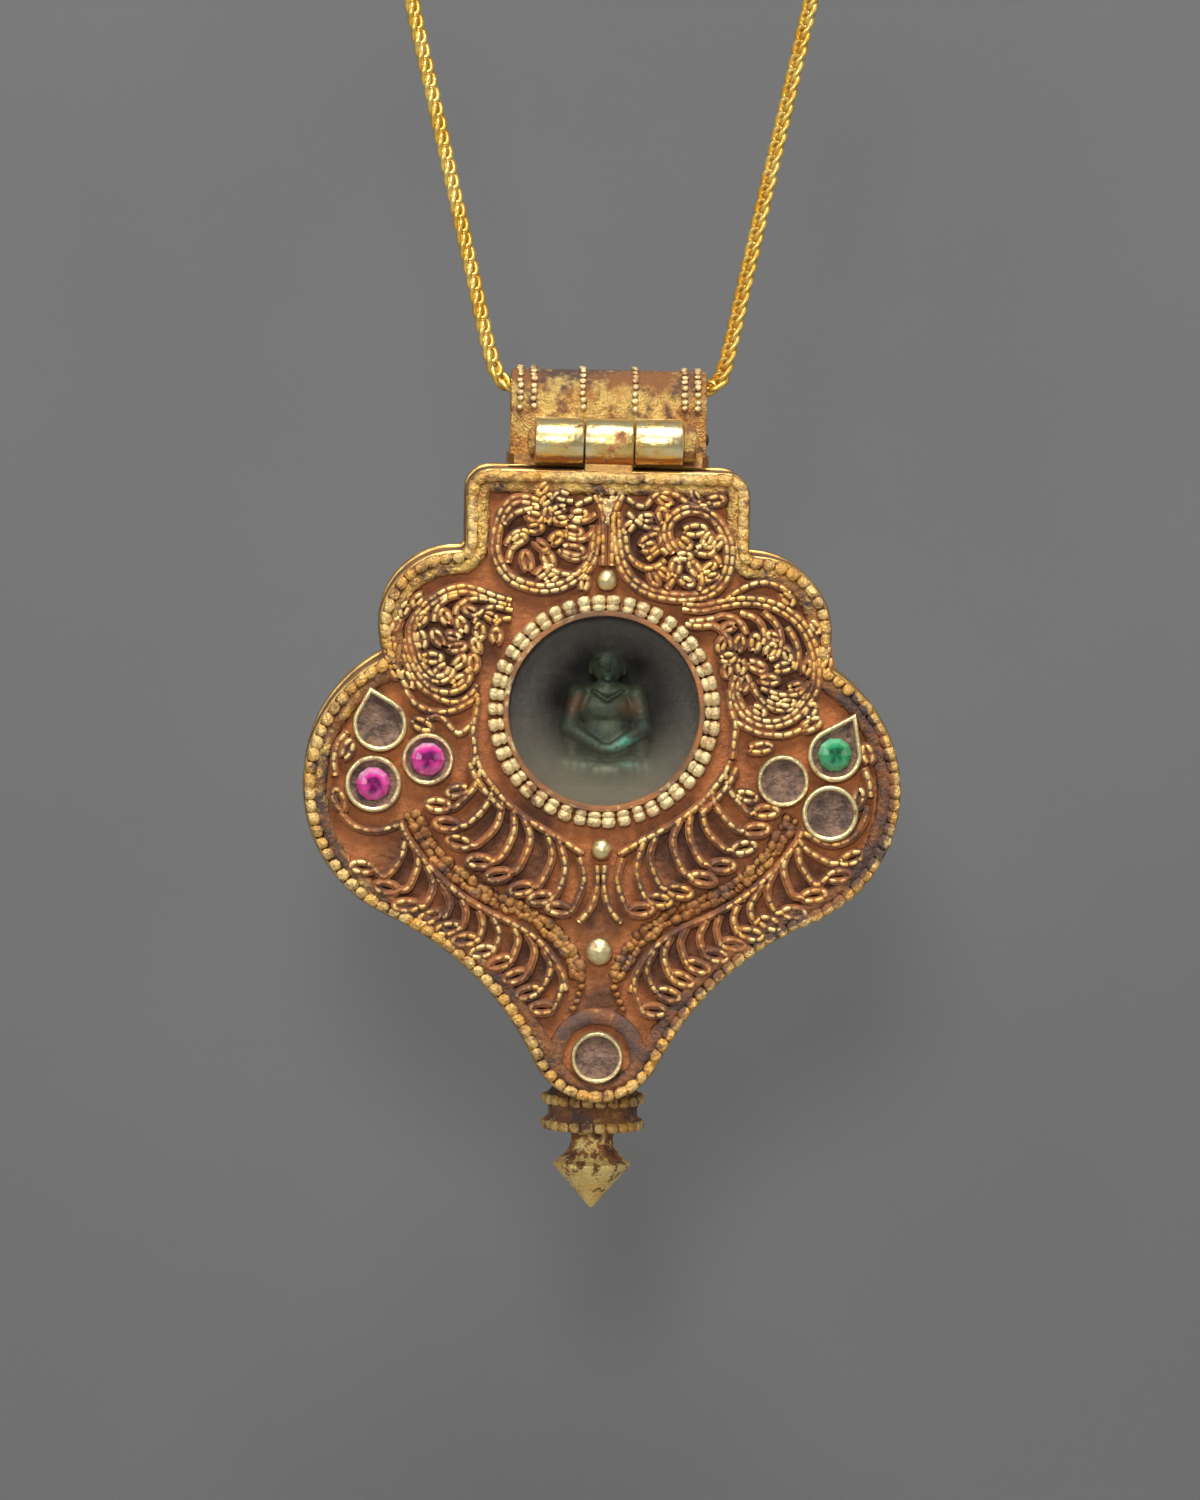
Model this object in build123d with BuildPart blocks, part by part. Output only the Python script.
from build123d import *
import os
from math import acos, asin, atan2, ceil, cos, degrees, pi, radians, sin, sqrt, tan

# A ghau: a hinged amulet box of gilt filigree that hangs on a curb chain, in millimetres.
# +X is the viewer's right, -Y the front and +Z up, and the origin lies on the chain's axis in the
# middle of the bail. A depth counts forward from the middle of the bail, so a depth is minus Y, and
# a drop counts down from the chain's axis.

# Chain: route points in the XZ plane, from the left end ring through the bail to the right one
chain_diameter = 1.85
chain_route = [
    (-19.70, 39.50),
    (-12.80, 11.40),
    (-10.56, 1.75),
    (-9.35, 0.02),
    (-7.30, -0.06),
    (0.00, -0.15),
    (7.30, -0.06),
    (9.35, 0.02),
    (10.50, 1.75),
    (12.40, 11.40),
    (18.40, 39.50),
]
chain_bend_share = 0.45
chain_sides = 6
end_ring_radius = 1.6
end_ring_wire = 0.8
end_ring_gap = 0.05
end_ring_sides = 10

# Bail: an arched strap on a base plate, with bead rows over the arch
bail_length = 17.6
strap_depth = 6.2
strap_thickness = 0.45
chain_clearance = 0.2
base_length = 18.1
base_depth = 7.2
base_thickness = 0.95
base_corner = 0.6
base_gap = 0.25
bead_row_width = 0.6
bead_row_height = 0.35
bead_row_places = (2.35, 6.8, 8.0)
bail_bead_count = 12

# Hinges: three knuckles each, one hinge in front of the bail and one behind it
knuckle_radius = 2.1
knuckle_length = 4.35
knuckle_sides = 20
knuckle_gap = 0.12
hinge_standoff = 0.1
hinge_rise = 0.37
leaf_thickness = 0.6
leaf_height = 3.1
leg_width = 1.3
foot_depth = 2.0
pin_radius = 0.7
pin_fit = 0.05
pin_end_gap = 0.06
left_head_radius = 1.25
left_head_length = 0.6
right_head_radius = 1.7
right_head_length = 1.1
head_sides = 10
rear_pin_radius = 0.55
rear_pin_tail = 0.5
rear_pin_collar_radius = 0.95
rear_pin_collar_length = 2.0
rear_pin_stub_length = 0.65

# Case outline: a neck, shoulder lobes, side lobes and an ogee down to a cup
case_top_drop = 7.2
neck_half_width = 12.8
neck_corner = 2.2
shoulder_offset = 13.4
shoulder_drop = 21.6
shoulder_radius = 7.0
lobe_offset = 14.0
lobe_drop = 35.8
lobe_radius = 12.9
ogee_radius = 27.0
cup_drop = 58.0
cup_radius = 6.2

# Case build: two halves that meet at the parting depth
parting_depth = 2.5
front_wall_depth = 3.5
rear_wall_depth = 9.4
plate_thickness = 0.6
plate_inset = 0.3
wall_inset = 0.4
wall = 0.7
rim_width = 1.5
rim_height = 1.3
rim_bead_pitch = 1.8
tab_length = 5.0
tab_drop = 41.0
tab_seat = 1.5
tab_reach = 1.0
tab_thickness = 0.6
tab_clearance = 0.2

# Window
window_drop = 28.8
window_radius = 8.55
collar_wall = 0.5
collar_height = 1.0
glass_thickness = 1.0
glass_lap = 0.6
glass_fit = 0.05
clip_count = 3
clip_start_angle = 30.0
clip_width = 1.8
clip_thickness = 0.6
clip_reach = 1.1
bead_ring_width = 1.6
bead_ring_height = 1.2
window_bead_count = 48

# Filigree wire on the front plate
wire_width = 0.5
wire_height = 0.55
wire_gap = 0.3
wire_bend = 2.2
band_width = 1.2
band_height = 0.45
outer_feather_width = 3.7
outer_barb_count = 12
inner_barb_count = 9
barb_belly = 0.6
eye_share = 0.62
eye_belly = 0.45
feather_lead = 8.6
band_start_angle = -46.0
inner_start_angle = -62.0
inner_root_start = -14.0
inner_root_turn = -68.0
outer_tip_end = 4.6
outer_root_end = 2.9
band_end = 1.2
inner_tip_end = 1.4
scroll_offset = 5.9
scroll_drop = 14.0
scroll_radius = 4.65
petal_count = 7
petal_start = 0.8
petal_end = 3.8
crown_width = 1.4
crown_height = 0.5
shoulder_barb_count = 5

# Centre-line balls and boss; a rise is how far the middle stands off the plate
ball_radius = 1.0
ball_sides = 10
ball_crown = 0.5
ball_rise = 0.6
upper_ball_drop = 17.0
lower_ball_drop = 41.2
boss_radius = 1.3
boss_drop = 50.4
boss_rise = 0.2

# Settings: bezels, the cement in them and the stones that are left
setting_sides = 12
bezel_wall = 0.35
bezel_height = 1.3
cement_height = 0.7
cement_fit = 0.02
outer_bezel_radius = 2.55
inner_bezel_radius = 2.35
teardrop_radius = 2.45
teardrop_left_reach = 3.5
teardrop_left_lean = 16.0
teardrop_right_reach = 4.2
teardrop_right_lean = 26.0
stone_radius = 1.55
stone_height = 1.1
stone_crown_height = 0.7
stone_crown_width = 0.6
stone_sides = 10
teardrop_left_angle = 128.4
teardrop_left_gap = 0.1
teardrop_right_angle = 40.3
teardrop_right_gap = 0.12
outer_left_step = (0.5, -5.35)
outer_right_step = (-0.3, -5.3)
inner_left_step = (-4.35, -3.05)
inner_right_step = (-4.6, -2.45)
bottom_bezel_rise = 4.25
bottom_bezel_radius = 2.35
bottom_ring_radius = 4.5
bottom_ring_width = 1.4
bottom_ring_height = 0.5
bottom_ring_fit = 0.12
bottom_ring_sides = 18

# Finial under the rear half
finial_depth = -2.5
collar_radius = 4.3
collar_length = 3.3
collar_saddle = 0.6
collar_fit = 0.02
collar_bead_radius = 0.5
collar_bead_count = 18
stem_neck_radius = 2.0
stem_waist_drop = 1.4
stem_wide_radius = 3.55
stem_wide_drop = 3.1
stem_shoulder_drop = 3.7
stem_length = 7.2
stem_tip_radius = 0.3

# Figure behind the glass, on a shelf fixed to a backing board
figure_depth = -1.4
figure_seat_drop = 36.0
figure_height = 12.0
figure_head_radius = 1.35
figure_sides = 8
head_overlap = 0.4
head_bevel = 0.5
lap_half_width = 4.3
lap_height = 2.3
lap_flatness = 0.52
lap_bevel = 0.8
torso_half_depth = 1.2
torso_bevel = 0.4
waist_half_width = 1.9
waist_height = 4.6
shoulder_half_width = 2.7
shoulder_height = 8.2
nape_half_width = 0.9
nape_height = 9.7
arm_radius = 0.55
arm_sides = 6
elbow_half_width = 3.1
elbow_height = 4.9
hand_half_width = 0.8
hand_height = 2.9
hand_reach = 1.7
shelf_width = 11.0
shelf_thickness = 1.2
shelf_depth = 7.0
backing_width = 19.0
backing_height = 20.0
backing_thickness = 1.0

# Places that follow from the sizes above
bail_inner_top = chain_diameter / 2 + chain_clearance
arch_radius = strap_depth / 2
arch_drop = arch_radius - strap_thickness - bail_inner_top
base_bottom_drop = case_top_drop - base_gap
base_top_drop = base_bottom_drop - base_thickness
hinge_reach = strap_depth / 2 + hinge_standoff + knuckle_radius
hinge_drop = case_top_drop - hinge_rise - knuckle_radius
hinge_half_length = 1.5 * knuckle_length + knuckle_gap
wall_top_drop = case_top_drop + wall_inset
plate_back = parting_depth + front_wall_depth
plate_face = plate_back + plate_thickness
rear_plate_inside = parting_depth - rear_wall_depth
case_bottom_drop = cup_drop + cup_radius
bottom_bezel_drop = case_bottom_drop - bottom_bezel_rise
bead_ring_inner = window_radius + collar_wall
bead_ring_outer = bead_ring_inner + bead_ring_width

os.makedirs("parts", exist_ok=True)


def front(depth):
    """The plane at a depth, facing the viewer."""
    return Plane.XZ.offset(depth)


def hinge_plane(side, start):
    """A plane across a hinge, with its middle on the pin; side is -1 in front and 1 behind."""
    return Plane(origin=(start, side * hinge_reach, -hinge_drop), x_dir=(0, 1, 0), z_dir=(1, 0, 0))


# Outline of the case, drawn once and drawn in by an inset where a piece needs it

lobe_centre = Vector(lobe_offset, -lobe_drop)
cup_centre = Vector(0, -cup_drop)
lobe_span = lobe_radius + ogee_radius
cup_span = cup_radius + ogee_radius
centre_gap = (lobe_centre - cup_centre).length
ogee_along = (cup_span**2 - lobe_span**2 + centre_gap**2) / (2 * centre_gap)
ogee_across = sqrt(cup_span**2 - ogee_along**2)
ogee_axis = (lobe_centre - cup_centre).normalized()
ogee_centre = cup_centre + ogee_axis * ogee_along + Vector(ogee_axis.Y, -ogee_axis.X) * ogee_across
lobe_touch = lobe_centre + (ogee_centre - lobe_centre).normalized() * lobe_radius
cup_touch = cup_centre + (ogee_centre - cup_centre).normalized() * cup_radius
ogee_middle = ogee_centre + ((lobe_touch + cup_touch) / 2 - ogee_centre).normalized() * ogee_radius

with BuildSketch() as case_outline:
    with Locations((0, -case_top_drop)):
        Rectangle(2 * neck_half_width, lobe_drop - case_top_drop, align=(Align.CENTER, Align.MAX))
    fillet(case_outline.vertices().group_by(Axis.Y)[-1], neck_corner)
    with Locations((shoulder_offset, -shoulder_drop), (-shoulder_offset, -shoulder_drop)):
        Circle(shoulder_radius)
    with Locations(lobe_centre, (-lobe_offset, -lobe_drop)):
        Circle(lobe_radius)
    with Locations(cup_centre):
        Circle(cup_radius)
    with BuildLine():
        Polyline(cup_centre, (0, -lobe_drop), lobe_centre, lobe_touch)
        ThreePointArc(lobe_touch, ogee_middle, cup_touch)
        Line(cup_touch, cup_centre)
    make_face()
    mirror(about=Plane.YZ)


def inset_outline(inset):
    """The case outline drawn in by an inset."""
    if inset == 0:
        return case_outline.sketch
    with BuildSketch() as drawn_in:
        offset(case_outline.sketch, amount=-inset, mode=Mode.ADD)
    return drawn_in.sketch


def outline_ring(depth, outer_inset, inner_inset, height):
    """A band that follows the case outline, from one depth forward by a height."""
    with BuildPart() as band:
        with BuildSketch(front(depth)):
            add(inset_outline(outer_inset))
            add(inset_outline(inner_inset), mode=Mode.SUBTRACT)
        extrude(amount=height)
    return band


# Chain and its end rings

def bend_radii(points):
    """The largest radius that each corner of a route has room for."""
    radii = []
    for before, corner, after in zip(points, points[1:], points[2:]):
        arriving = Vector(corner) - Vector(before)
        leaving = Vector(after) - Vector(corner)
        shorter = min(arriving.length, leaving.length)
        turn = radians(arriving.get_angle(leaving))
        radii.append(chain_bend_share * shorter / tan(turn / 2))
    return radii


chain_radii = bend_radii(chain_route)

with BuildPart() as neck_chain:
    with BuildLine(Plane.XZ) as chain_line:
        FilletPolyline(*chain_route, radius=chain_radii)
    with BuildSketch(Plane(origin=chain_line.line @ 0, z_dir=chain_line.line % 0)):
        RegularPolygon(chain_diameter / 2, chain_sides)
    sweep()

chain_path = chain_line.wire()
chain_length = chain_path.length
print("chain radii", [round(radius, 1) for radius in chain_radii])
print("chain length", round(chain_length, 1))
chain_section = chain_sides * chain_diameter**2 / 8 * sin(2 * pi / chain_sides)
print("chain volume share", round(neck_chain.part.volume / (chain_section * chain_length), 4))


def end_ring(end, away):
    """A jump ring at a chain end, with the strand pointing away from the bail."""
    centre = end + away * (end_ring_radius + end_ring_wire / 2 + end_ring_gap)
    back = centre + Vector(0, end_ring_wire / 2, 0)
    with BuildPart() as ring:
        with BuildSketch(Plane(origin=back, x_dir=(1, 0, 0), z_dir=(0, -1, 0))):
            RegularPolygon(end_ring_radius + end_ring_wire / 2, end_ring_sides)
            RegularPolygon(end_ring_radius - end_ring_wire / 2, end_ring_sides, mode=Mode.SUBTRACT)
        extrude(amount=end_ring_wire)
    return ring


chain_end_ring_left = end_ring(chain_path @ 0, -(chain_path % 0))
chain_end_ring_right = end_ring(chain_path @ 1, chain_path % 1)

# Bail

with BuildPart() as bail_strap:
    with BuildSketch(Plane.YZ):
        with Locations((0, -arch_drop)):
            Circle(arch_radius)
            Rectangle(strap_depth, base_top_drop - arch_drop, align=(Align.CENTER, Align.MAX))
            Circle(arch_radius - strap_thickness, mode=Mode.SUBTRACT)
            Rectangle(
                strap_depth - 2 * strap_thickness,
                base_top_drop - arch_drop,
                align=(Align.CENTER, Align.MAX),
                mode=Mode.SUBTRACT,
            )
    extrude(amount=bail_length / 2, both=True)

with BuildPart() as bail_base_plate:
    with BuildSketch(Plane.XY.offset(-base_top_drop)):
        chamfer(Rectangle(base_length, base_depth).vertices(), base_corner)
    extrude(amount=-base_thickness)

with BuildPart() as bail_bead_rows:
    for place in bead_row_places:
        for side in (-1, 1):
            with BuildSketch(Plane.YZ.offset(side * place - bead_row_width / 2)):
                with Locations((0, -arch_drop)):
                    RegularPolygon(arch_radius + bead_row_height, bail_bead_count, major_radius=False)
                    RegularPolygon(arch_radius, bail_bead_count, major_radius=False, mode=Mode.SUBTRACT)
                    Rectangle(
                        2 * strap_depth,
                        2 * strap_depth,
                        align=(Align.CENTER, Align.MAX),
                        mode=Mode.SUBTRACT,
                    )
            extrude(amount=bead_row_width)

# Hinges

def outer_knuckles(side, pin):
    """Two knuckles with leaves against the strap; side is -1 in front and 1 behind."""
    leaf_middle = -side * (hinge_reach - strap_depth / 2 - leaf_thickness / 2)
    leaf_foot = hinge_drop - base_top_drop
    with BuildPart() as knuckles:
        for start in (knuckle_length / 2 + knuckle_gap, -hinge_half_length):
            with BuildSketch(hinge_plane(side, start)):
                RegularPolygon(knuckle_radius, knuckle_sides)
                with Locations((leaf_middle, leaf_foot)):
                    Rectangle(leaf_thickness, leaf_height, align=(Align.CENTER, Align.MIN))
                Circle(pin + pin_fit, mode=Mode.SUBTRACT)
            extrude(amount=knuckle_length)
    return knuckles


def centre_knuckle(side, pin):
    """The case's knuckle, on a leg with a foot that lies on the wall."""
    wall_fall = hinge_drop - wall_top_drop
    with BuildPart() as knuckle:
        with BuildSketch(hinge_plane(side, -knuckle_length / 2)):
            RegularPolygon(knuckle_radius, knuckle_sides)
            with Locations((0, wall_fall)):
                Rectangle(leg_width, -wall_fall, align=(Align.CENTER, Align.MIN))
            with Locations((side * (leg_width - foot_depth) / 2, wall_fall)):
                Rectangle(foot_depth, wall_inset, align=(Align.CENTER, Align.MIN))
            Circle(pin + pin_fit, mode=Mode.SUBTRACT)
        extrude(amount=knuckle_length)
    return knuckle


front_hinge_outer_knuckles = outer_knuckles(-1, pin_radius)
rear_hinge_outer_knuckles = outer_knuckles(1, rear_pin_radius)
front_hinge_centre_knuckle = centre_knuckle(-1, pin_radius)
rear_hinge_centre_knuckle = centre_knuckle(1, rear_pin_radius)

pin_end = hinge_half_length + pin_end_gap

with BuildPart() as front_hinge_pin:
    with BuildSketch(hinge_plane(-1, -pin_end)):
        Circle(pin_radius)
    extrude(amount=2 * pin_end)
    with BuildSketch(hinge_plane(-1, -pin_end)):
        RegularPolygon(left_head_radius, head_sides)
    extrude(amount=-left_head_length)
    with BuildSketch(hinge_plane(-1, pin_end)):
        RegularPolygon(right_head_radius, head_sides)
    extrude(amount=right_head_length)

with BuildPart() as rear_hinge_pin:
    with BuildSketch(hinge_plane(1, -hinge_half_length - rear_pin_tail)):
        Circle(rear_pin_radius)
    extrude(amount=hinge_half_length + rear_pin_tail + pin_end)
    with BuildSketch(hinge_plane(1, pin_end)):
        RegularPolygon(rear_pin_collar_radius, head_sides)
    extrude(amount=rear_pin_collar_length)
    with BuildSketch(hinge_plane(1, pin_end + rear_pin_collar_length)):
        RegularPolygon(rear_pin_radius, head_sides)
    extrude(amount=rear_pin_stub_length)

# Front half: wall, plate, rim and closing tabs

front_side_band = outline_ring(parting_depth, wall_inset, wall_inset + wall, front_wall_depth)


def beaded_outline(inset):
    """The outline drawn in by an inset, with one short straight for each bead of the rim."""
    line = inset_outline(inset).face().outer_wire()
    beads = round(line.length / rim_bead_pitch)
    with BuildSketch() as beaded:
        with BuildLine():
            Polyline(*[line @ (bead / beads) for bead in range(beads)], close=True)
        make_face()
    return beaded.sketch


with BuildPart() as front_rim_wire:
    with BuildSketch(front(plate_face)):
        add(beaded_outline(0))
        add(beaded_outline(rim_width), mode=Mode.SUBTRACT)
    extrude(amount=rim_height)

with BuildPart() as front_plate:
    with BuildSketch(front(plate_back)):
        add(beaded_outline(plate_inset))
        with Locations((0, -window_drop)):
            RegularPolygon(bead_ring_inner, window_bead_count, major_radius=False, mode=Mode.SUBTRACT)
    extrude(amount=plate_thickness)

tab_outer = wall_inset + wall
tab_inner = tab_outer + tab_clearance + tab_thickness
tab_span = 2 * (tab_inner + tab_length)
lobe_edge = lobe_offset + lobe_radius

with BuildPart() as closing_tabs:
    for outer_inset, height in ((tab_outer, tab_seat), (tab_outer + tab_clearance, -tab_reach)):
        with BuildSketch(front(parting_depth)):
            with Locations((-lobe_edge, -tab_drop), (lobe_edge, -tab_drop)):
                Rectangle(tab_span, tab_length)
            with Locations((0, -case_bottom_drop)):
                Rectangle(tab_length, tab_span)
            add(inset_outline(outer_inset), mode=Mode.INTERSECT)
            add(inset_outline(tab_inner), mode=Mode.SUBTRACT)
        extrude(amount=height)

# Window: collar through the plate, glass behind it, clips that hold the glass and the bead ring

glass_radius = bead_ring_inner + glass_lap
glass_back = plate_back - glass_thickness
clip_back = glass_back - clip_thickness
clip_root = glass_radius + glass_fit


def window_disc(depth, radius, hole=0.0):
    """A disc or ring on the window's axis with one side for each bead, drawn at a depth."""
    with BuildSketch(front(depth)) as disc:
        with Locations((0, -window_drop)):
            RegularPolygon(radius, window_bead_count, major_radius=False)
            if hole:
                RegularPolygon(hole, window_bead_count, major_radius=False, mode=Mode.SUBTRACT)
    return disc.sketch


with BuildPart() as window_collar:
    extrude(window_disc(plate_back, bead_ring_inner, window_radius), amount=plate_thickness + collar_height)

with BuildPart() as window_glass:
    extrude(window_disc(glass_back, glass_radius), amount=glass_thickness)

with BuildPart() as glass_clips:
    for depth, inner_end, height in (
        (clip_back, clip_root - clip_reach, clip_thickness),
        (glass_back, clip_root, glass_thickness),
    ):
        with BuildSketch(front(depth)):
            with Locations((0, -window_drop)):
                with PolarLocations(inner_end, clip_count, start_angle=clip_start_angle):
                    reach = clip_root + clip_thickness - inner_end
                    Rectangle(reach, clip_width, align=(Align.MIN, Align.CENTER))
        extrude(amount=height)

with BuildPart() as window_bead_ring:
    extrude(window_disc(plate_face, bead_ring_outer, bead_ring_inner), amount=bead_ring_height)

# Filigree on the right half of the plate; each left piece is its mirror image

def plate_plane(across, drop):
    """The face of the plate, with its middle at a place counted from the chain's axis."""
    return Plane(origin=(across, -plate_face, -drop), x_dir=(1, 0, 0), z_dir=(0, -1, 0))


def polar(middle, angle, reach):
    """A point at an angle from the viewer's right, counted towards the top."""
    return middle + Vector(cos(radians(angle)), sin(radians(angle))) * reach


lobe_to_ogee = degrees(atan2(ogee_centre.Y - lobe_centre.Y, ogee_centre.X - lobe_centre.X))


def rim_parallel(inset, start_angle, end_across):
    """A line that keeps an inset from the outline, round the right lobe and down the ogee."""
    ogee_reach = ogee_radius + inset
    ogee_start = lobe_to_ogee + 180
    ogee_end = degrees(acos((end_across - ogee_centre.X) / ogee_reach))
    with BuildLine() as parallel:
        CenterArc(lobe_centre, lobe_radius - inset, start_angle, lobe_to_ogee - start_angle)
        CenterArc(ogee_centre, ogee_reach, ogee_start, ogee_end - ogee_start)
    return parallel.wire()


def barbs(root, tip, count):
    """Curved barbs from a root line to a tip line."""
    with BuildLine() as stems:
        for barb in range(count):
            SagittaArc(root @ ((barb + 0.5) / count), tip @ ((barb + 0.5) / count), -barb_belly)
    return stems.edges()


def eyes(stems):
    """The eyes that close the ends of barbs."""
    with BuildLine() as loops:
        for stem in stems:
            SagittaArc(stem @ 1, stem @ eye_share, -eye_belly)
    return loops.edges()


def wirework(place, *lines, width=wire_width, height=wire_height):
    """Raised strips on the plate along flat lines, bent in short straights, which may cross."""
    with BuildPart() as strips:
        with BuildSketch(place):
            for line in lines:
                bends = ceil(line.length / wire_bend)
                with BuildLine() as bent:
                    Polyline(*[line @ (bend / bends) for bend in range(bends + 1)])
                trace(bent.edges(), line_width=width)
        extrude(amount=height)
    return strips


def mirrored(piece):
    """The mirror image of a piece across the middle of the case."""
    with BuildPart() as image:
        mirror(piece.part, about=Plane.YZ)
    return image


def stepped(place, step, side):
    """A place one step from another; a step outward is positive on either side."""
    return place + Vector(side * step[0], step[1])


def rim_point(side, angle, gap):
    """A point that keeps a gap from the rim of a lobe; side is -1 at the left."""
    return polar(Vector(side * lobe_offset, -lobe_drop), angle, lobe_radius - rim_width - gap)


left_tip = rim_point(-1, teardrop_left_angle, teardrop_left_gap)
right_tip = rim_point(1, teardrop_right_angle, teardrop_right_gap)
left_tip_angle = 90 + teardrop_left_lean
right_tip_angle = 90 - teardrop_right_lean
teardrop_left = polar(left_tip, left_tip_angle + 180, teardrop_left_reach)
teardrop_right = polar(right_tip, right_tip_angle + 180, teardrop_right_reach)
outer_left = stepped(teardrop_left, outer_left_step, -1)
outer_right = stepped(teardrop_right, outer_right_step, 1)
inner_left = stepped(teardrop_left, inner_left_step, -1)
inner_right = stepped(teardrop_right, inner_right_step, 1)

tip_inset = rim_width + wire_gap + eye_belly
root_inset = tip_inset + outer_feather_width
band_inset = root_inset + (wire_width + band_width) / 2 + wire_gap
inner_inset = band_inset + (wire_width + band_width) / 2 + wire_gap + eye_belly
outer_bearing = degrees(atan2(outer_right.Y - lobe_centre.Y, outer_right.X - lobe_centre.X))
feather_start_angle = outer_bearing - feather_lead
outer_tip = rim_parallel(tip_inset, feather_start_angle, outer_tip_end)
outer_root = rim_parallel(root_inset, band_start_angle, outer_root_end)
band_line = rim_parallel(band_inset, band_start_angle, band_end)
inner_tip = rim_parallel(inner_inset, inner_start_angle, inner_tip_end)

with BuildLine() as window_line:
    inner_root = CenterArc(
        (0, -window_drop),
        bead_ring_outer + wire_gap + wire_width / 2,
        inner_root_start,
        inner_root_turn,
    )

plate_middle = plate_plane(0, 0)
inner_feather_right = wirework(plate_middle, *barbs(inner_root, inner_tip, inner_barb_count))
outer_stems = barbs(outer_root, outer_tip, outer_barb_count)
outer_feather_right = wirework(plate_middle, outer_root, *outer_stems, *eyes(outer_stems))
spine_band_right = wirework(plate_middle, band_line, width=band_width, height=band_height)


def on_shoulder(across, up):
    """A point counted from the middle of a shoulder lobe, in shares of the lobe's radius."""
    return Vector(across, up) * shoulder_radius


# Shoulder scroll: an arch that winds into a roundel, a curl over it and a volute in it
with BuildLine() as shoulder_lines:
    Spline(
        on_shoulder(-0.91, 0.27),
        on_shoulder(-0.43, 0.30),
        on_shoulder(0.11, 0.34),
        on_shoulder(0.54, 0.04),
        on_shoulder(0.64, -0.43),
        on_shoulder(0.50, -0.89),
        on_shoulder(0.11, -1.06),
        on_shoulder(-0.20, -0.83),
        on_shoulder(-0.14, -0.56),
    )
    ThreePointArc(on_shoulder(-0.40, 0.46), on_shoulder(0.01, 0.66), on_shoulder(0.41, 0.43))
    ThreePointArc(on_shoulder(0.03, -0.67), on_shoulder(0.21, -0.81), on_shoulder(0.41, -0.64))
    scroll_root = Spline(
        on_shoulder(-0.69, 0.26), on_shoulder(-0.11, 0.29), on_shoulder(0.39, 0.11), mode=Mode.PRIVATE
    )
    scroll_tip = Spline(
        on_shoulder(-0.34, -0.23), on_shoulder(0.04, -0.29), on_shoulder(0.34, -0.46), mode=Mode.PRIVATE
    )

# Top scroll, drawn from its own middle: a round wire with a rosette of curved petals in it
with BuildLine() as top_lines:
    CenterArc((0, 0), scroll_radius - wire_width / 2, 0, 360)
    for petal in range(petal_count):
        turn = 360 * petal / petal_count
        SagittaArc(polar(Vector(0, 0), turn, petal_start), polar(Vector(0, 0), turn, petal_end), barb_belly)

shoulder_scroll_right = wirework(
    plate_plane(shoulder_offset, shoulder_drop),
    *shoulder_lines.edges(),
    *barbs(scroll_root, scroll_tip, shoulder_barb_count),
)
top_scroll_right = wirework(plate_plane(scroll_offset, scroll_drop), *top_lines.edges())

inner_feather_left = mirrored(inner_feather_right)
outer_feather_left = mirrored(outer_feather_right)
spine_band_left = mirrored(spine_band_right)
shoulder_scroll_left = mirrored(shoulder_scroll_right)
top_scroll_left = mirrored(top_scroll_right)

crown_top = case_top_drop + rim_width
crown_bottom = upper_ball_drop - ball_radius - wire_gap

with BuildPart() as crown_strip:
    with BuildSketch(front(plate_face)):
        with Locations((0, -crown_top)):
            Rectangle(crown_width, crown_bottom - crown_top, align=(Align.CENTER, Align.MAX))
    extrude(amount=crown_height)


def ball(drop, radius, rise):
    """A faceted ball soldered to the plate on the centre line."""
    with BuildPart() as shot:
        with BuildSketch(plate_plane(0, drop)):
            RegularPolygon(radius, ball_sides)
        extrude(amount=rise + radius)
        chamfer(shot.faces().sort_by(Axis.Y)[0].edges(), ball_crown * radius)
    return shot


upper_ball = ball(upper_ball_drop, ball_radius, ball_rise)
lower_ball = ball(lower_ball_drop, ball_radius, ball_rise)
flattened_boss = ball(boss_drop, boss_radius, boss_rise)

# Settings: bezels, cement and stones

def round_setting(place, radius):
    """The outline of a round setting."""
    with BuildSketch(Plane.XY) as setting:
        with Locations(place):
            RegularPolygon(radius, setting_sides)
    return setting.sketch


def teardrop_setting(place, radius, reach, tip_angle):
    """The outline of a teardrop setting whose point lies at an angle from the viewer's right."""
    spread = 90 - degrees(asin(radius / reach))
    tip = polar(place, tip_angle, reach)
    turn = (360 - 2 * spread) / (setting_sides - 2)
    corners = range(setting_sides - 1)
    bowl = [polar(place, tip_angle + spread + turn * corner, radius) for corner in corners]
    with BuildSketch(Plane.XY) as setting:
        with BuildLine():
            Polyline(tip, *bowl, close=True)
        make_face()
    return setting.sketch


def bezel(setting):
    """A bezel wall that stands on the plate round a setting."""
    with BuildPart() as wall_strip:
        with BuildSketch(front(plate_face)):
            add(setting)
            offset(setting, amount=-bezel_wall, mode=Mode.SUBTRACT)
        extrude(amount=bezel_height)
    return wall_strip


def stone(place, radius):
    """A faceted round stone on the cement."""
    with BuildPart() as gem:
        with BuildSketch(front(plate_face + cement_height)):
            with Locations(place):
                RegularPolygon(radius, stone_sides)
        extrude(amount=stone_height)
        chamfer(gem.faces().sort_by(Axis.Y)[0].edges(), stone_crown_height, stone_crown_width)
    return gem


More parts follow.
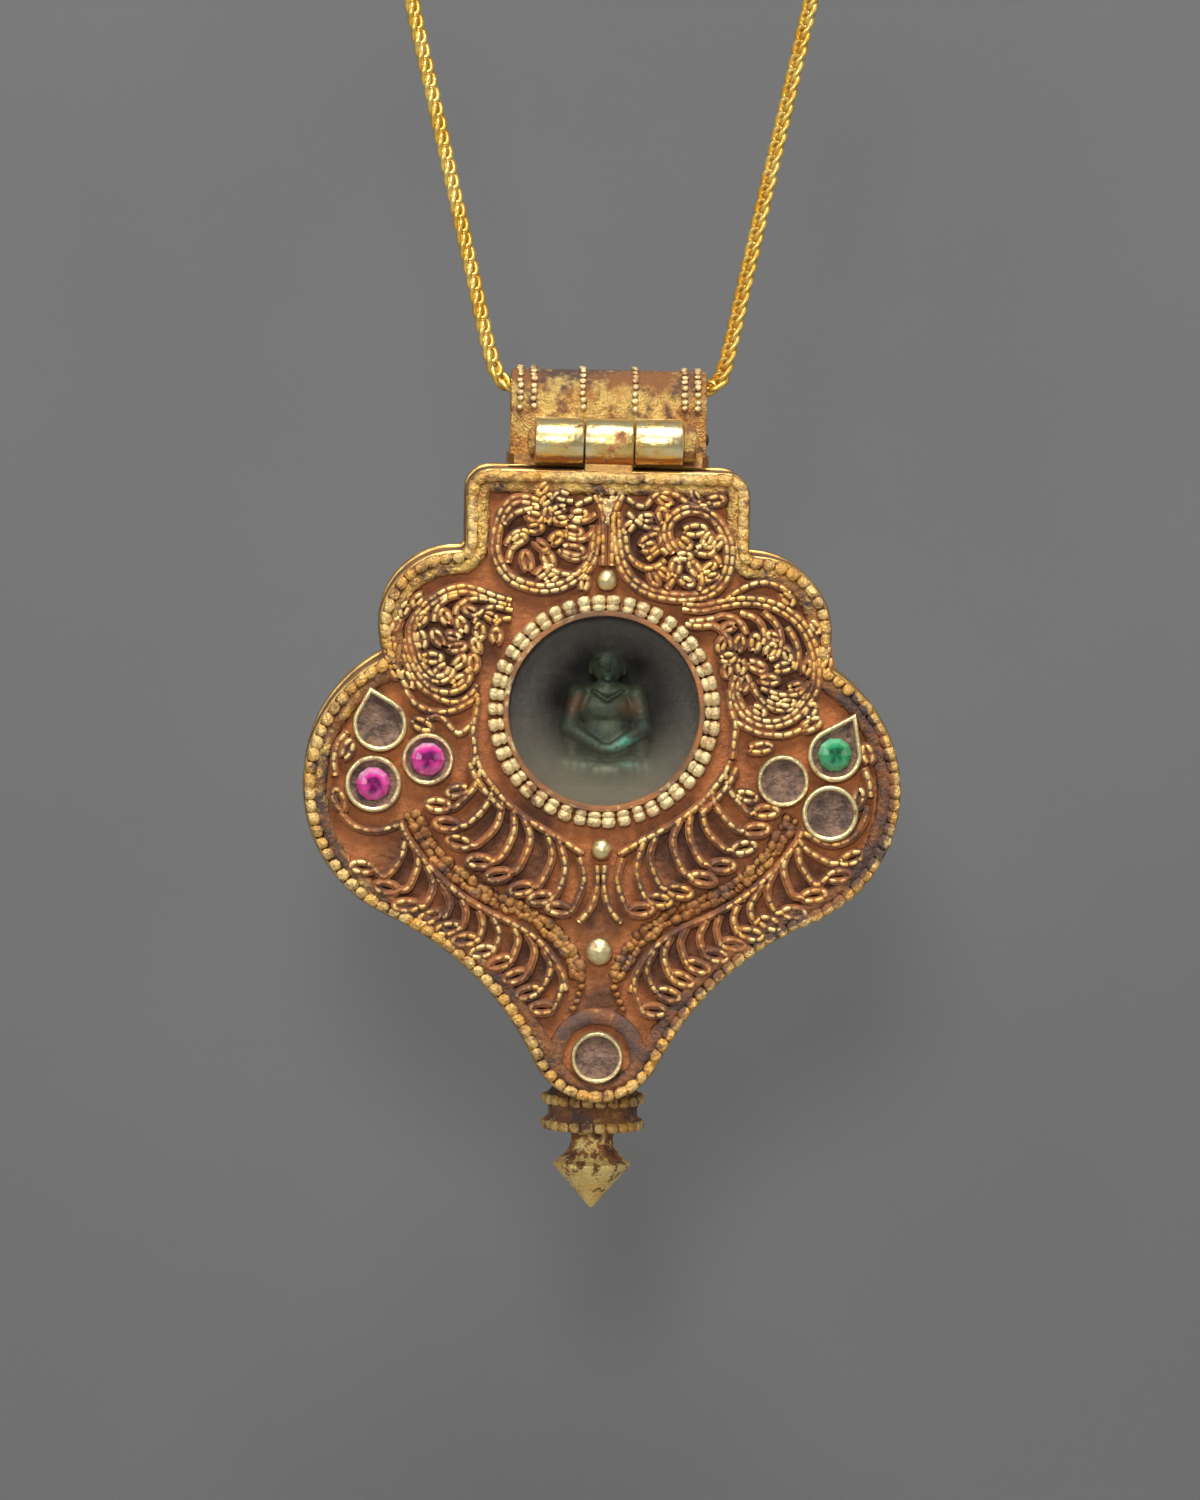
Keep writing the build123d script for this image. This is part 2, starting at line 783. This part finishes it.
settings = {
    "teardrop_bezel_left": teardrop_setting(
        teardrop_left, teardrop_radius, teardrop_left_reach, left_tip_angle
    ),
    "teardrop_bezel_right": teardrop_setting(
        teardrop_right, teardrop_radius, teardrop_right_reach, right_tip_angle
    ),
    "outer_bezel_left": round_setting(outer_left, outer_bezel_radius),
    "outer_bezel_right": round_setting(outer_right, outer_bezel_radius),
    "inner_bezel_left": round_setting(inner_left, inner_bezel_radius),
    "inner_bezel_right": round_setting(inner_right, inner_bezel_radius),
    "bottom_bezel": round_setting((0, -bottom_bezel_drop), bottom_bezel_radius),
}

with BuildPart() as setting_cement:
    with BuildSketch(front(plate_face)):
        for setting in settings.values():
            offset(setting, amount=-bezel_wall - cement_fit, mode=Mode.ADD)
    extrude(amount=cement_height)

pink_stone_outer = stone(outer_left, stone_radius)
pink_stone_inner = stone(inner_left, stone_radius)
green_stone = stone(teardrop_right, stone_radius)

with BuildPart() as bottom_ring:
    with BuildSketch(front(plate_face)):
        with Locations((0, -bottom_bezel_drop)):
            RegularPolygon(bottom_ring_radius, bottom_ring_sides)
            RegularPolygon(bottom_ring_radius - bottom_ring_width, bottom_ring_sides, mode=Mode.SUBTRACT)
        add(inset_outline(rim_width + bottom_ring_fit), mode=Mode.INTERSECT)
    extrude(amount=bottom_ring_height)

# Rear half: a tray of plain sheet

with BuildPart() as rear_shell:
    with BuildSketch(front(rear_plate_inside - plate_thickness)):
        add(inset_outline(wall_inset))
    extrude(amount=rear_wall_depth + plate_thickness)
    with BuildSketch(front(rear_plate_inside)):
        add(inset_outline(wall_inset + wall))
    extrude(amount=rear_wall_depth, mode=Mode.SUBTRACT)

# Finial under the rear half: a collar saddled to the wall, two bead rows and a turned stem

collar_bottom_drop = case_bottom_drop + collar_length

with BuildPart() as finial_collar:
    with BuildSketch(Plane((0, -finial_depth, -collar_bottom_drop))):
        RegularPolygon(collar_radius, collar_bead_count, major_radius=False)
    extrude(amount=collar_length + wall_inset + collar_saddle)
    with BuildSketch(front(rear_plate_inside - plate_thickness)):
        add(inset_outline(wall_inset - collar_fit))
    extrude(amount=rear_wall_depth + plate_thickness, mode=Mode.SUBTRACT)

with BuildPart() as finial_bead_rows:
    for drop in (case_bottom_drop + 2 * collar_bead_radius, collar_bottom_drop):
        with BuildSketch(Plane((0, -finial_depth, -drop))):
            RegularPolygon(collar_radius + collar_bead_radius, collar_bead_count, major_radius=False)
            RegularPolygon(collar_radius, collar_bead_count, major_radius=False, mode=Mode.SUBTRACT)
        extrude(amount=2 * collar_bead_radius)

with BuildPart() as finial_stem:
    with BuildSketch(Plane((0, -finial_depth, -collar_bottom_drop - stem_length))):
        RegularPolygon(stem_wide_radius, collar_bead_count)
    extrude(amount=stem_length - stem_waist_drop)
    flare = finial_stem.faces().sort_by(Axis.Z)[-1]
    flare_length = stem_wide_drop - stem_waist_drop
    chamfer(flare.edges(), stem_wide_radius - stem_neck_radius, flare_length, reference=flare)
    tip = finial_stem.faces().sort_by(Axis.Z)[0]
    tip_length = stem_length - stem_shoulder_drop
    chamfer(tip.edges(), stem_wide_radius - stem_tip_radius, tip_length, reference=tip)
    with BuildSketch(Plane((0, -finial_depth, -collar_bottom_drop - stem_waist_drop))):
        RegularPolygon(stem_neck_radius, collar_bead_count)
    extrude(amount=stem_waist_drop)

# Figure on its shelf, in front of a backing board in the rear shell

with BuildPart() as figure_backing:
    with BuildSketch(front(rear_plate_inside)):
        with Locations((0, -window_drop)):
            Rectangle(backing_width, backing_height)
    extrude(amount=backing_thickness)

with BuildPart() as figure_shelf:
    with BuildSketch(front(rear_plate_inside + backing_thickness)):
        with Locations((0, -figure_seat_drop)):
            Rectangle(shelf_width, shelf_thickness, align=(Align.CENTER, Align.MAX))
    extrude(amount=shelf_depth)

figure_base = -figure_seat_drop

with BuildPart() as figure_torso:
    torso_back = (0, torso_half_depth - figure_depth, figure_base)
    with BuildSketch(Plane(origin=torso_back, x_dir=(1, 0, 0), z_dir=(0, -1, 0))):
        with BuildLine():
            Polyline(
                (-waist_half_width, lap_height),
                (waist_half_width, lap_height),
                (waist_half_width, waist_height),
                (shoulder_half_width, shoulder_height),
                (nape_half_width, nape_height),
                (-nape_half_width, nape_height),
                (-shoulder_half_width, shoulder_height),
                (-waist_half_width, waist_height),
                close=True,
            )
        make_face()
    extrude(amount=2 * torso_half_depth)
    chamfer(figure_torso.faces().filter_by(Axis.Y).edges(), torso_bevel)

with BuildPart() as figure_head:
    with BuildSketch(Plane((0, -figure_depth, figure_base + nape_height - head_overlap))):
        RegularPolygon(figure_head_radius, figure_sides)
    extrude(amount=figure_height - nape_height + head_overlap)
    chamfer(figure_head.faces().filter_by(Axis.Z).edges(), head_bevel)

with BuildPart() as votive_figure:
    with BuildSketch(Plane((0, -figure_depth, figure_base))):
        RegularPolygon(lap_half_width, figure_sides)
        scale(by=(1, lap_flatness, 1))
    extrude(amount=lap_height)
    chamfer(votive_figure.faces().sort_by(Axis.Z)[-1].edges(), lap_bevel)
    add(figure_torso)
    add(figure_head)
    for side in (-1, 1):
        with BuildLine() as arm_line:
            Polyline(
                (side * (shoulder_half_width - arm_radius), -figure_depth, figure_base + shoulder_height),
                (side * elbow_half_width, -figure_depth, figure_base + elbow_height),
                (side * hand_half_width, -figure_depth - hand_reach, figure_base + hand_height),
            )
        with BuildSketch(Plane(origin=arm_line.line @ 0, z_dir=arm_line.line % 0)):
            RegularPolygon(arm_radius, arm_sides)
        sweep(transition=Transition.RIGHT)

pieces = {
    "neck_chain": neck_chain,
    "chain_end_ring_left": chain_end_ring_left,
    "chain_end_ring_right": chain_end_ring_right,
    "bail_strap": bail_strap,
    "bail_base_plate": bail_base_plate,
    "bail_bead_rows": bail_bead_rows,
    "front_hinge_outer_knuckles": front_hinge_outer_knuckles,
    "rear_hinge_outer_knuckles": rear_hinge_outer_knuckles,
    "front_hinge_centre_knuckle": front_hinge_centre_knuckle,
    "rear_hinge_centre_knuckle": rear_hinge_centre_knuckle,
    "front_hinge_pin": front_hinge_pin,
    "rear_hinge_pin": rear_hinge_pin,
    "front_side_band": front_side_band,
    "front_rim_wire": front_rim_wire,
    "front_plate": front_plate,
    "closing_tabs": closing_tabs,
    "window_collar": window_collar,
    "window_glass": window_glass,
    "glass_clips": glass_clips,
    "window_bead_ring": window_bead_ring,
    "inner_feather_left": inner_feather_left,
    "inner_feather_right": inner_feather_right,
    "outer_feather_left": outer_feather_left,
    "outer_feather_right": outer_feather_right,
    "spine_band_left": spine_band_left,
    "spine_band_right": spine_band_right,
    "shoulder_scroll_left": shoulder_scroll_left,
    "shoulder_scroll_right": shoulder_scroll_right,
    "top_scroll_left": top_scroll_left,
    "top_scroll_right": top_scroll_right,
    "crown_strip": crown_strip,
    "upper_ball": upper_ball,
    "lower_ball": lower_ball,
    "flattened_boss": flattened_boss,
    "setting_cement": setting_cement,
    "pink_stone_outer": pink_stone_outer,
    "pink_stone_inner": pink_stone_inner,
    "green_stone": green_stone,
    "bottom_ring": bottom_ring,
    "rear_shell": rear_shell,
    "finial_collar": finial_collar,
    "finial_bead_rows": finial_bead_rows,
    "finial_stem": finial_stem,
    "figure_backing": figure_backing,
    "figure_shelf": figure_shelf,
    "votive_figure": votive_figure,
}
for name, setting in settings.items():
    pieces[name] = bezel(setting)

for name, piece in pieces.items():
    piece.part.label = name
    export_step(piece.part, f"parts/{name}.step")
